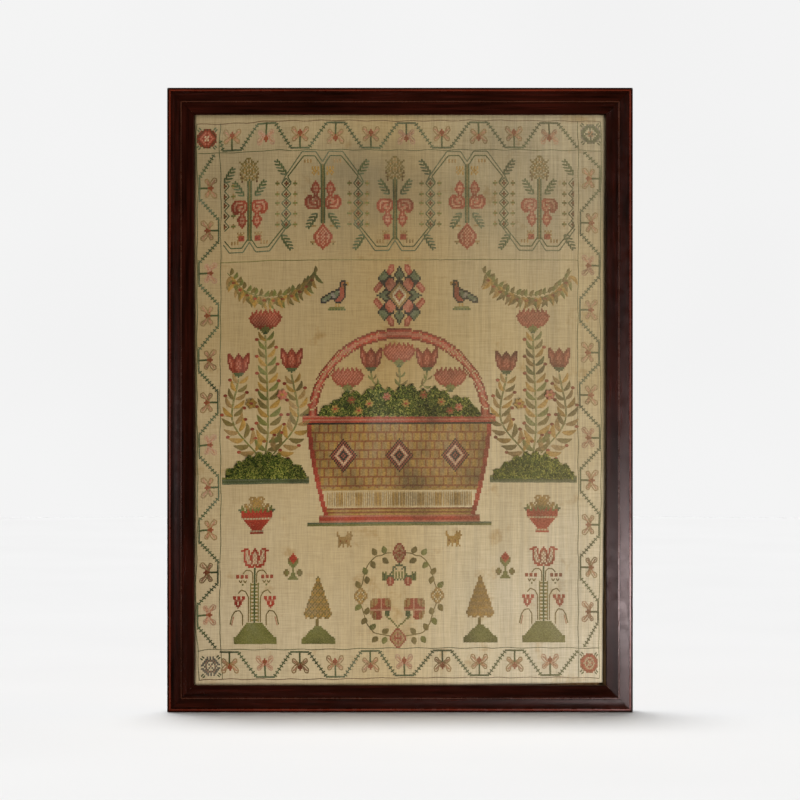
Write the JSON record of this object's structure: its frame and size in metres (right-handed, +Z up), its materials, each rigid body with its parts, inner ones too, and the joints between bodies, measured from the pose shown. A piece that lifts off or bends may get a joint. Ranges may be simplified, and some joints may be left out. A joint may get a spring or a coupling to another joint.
{
  "type": "framed cross stitch sampler with its wooden frame",
  "caption": "Embroidered linen sampler stretched over a board in a mitred, moulded wooden frame with thin inlaid lines, to hang on a wall.",
  "frame": {"origin": "middle of the top rail's flat back, where the frame meets the wall", "axes": "+Z up, +Y into the wall, the face looks along -Y"},
  "size_m": [0.466, 0.0199, 0.6251],
  "materials": {
    "mahogany": "polished",
    "edge_stringing": "polished",
    "middle_stringing": "polished",
    "pine": "planed",
    "linen": "plain weave"
  },
  "bodies": {
    "root": {"rail_top": "mahogany", "rail_right": "mahogany", "rail_bottom": "mahogany", "rail_left": "mahogany", "edge_string_top": "edge_stringing", "edge_string_right": "edge_stringing", "edge_string_bottom": "edge_stringing", "edge_string_left": "edge_stringing", "middle_string_top": "middle_stringing", "middle_string_right": "middle_stringing", "middle_string_bottom": "middle_stringing", "middle_string_left": "middle_stringing", "board": "pine", "linen": "linen"}
  },
  "joints": []
}
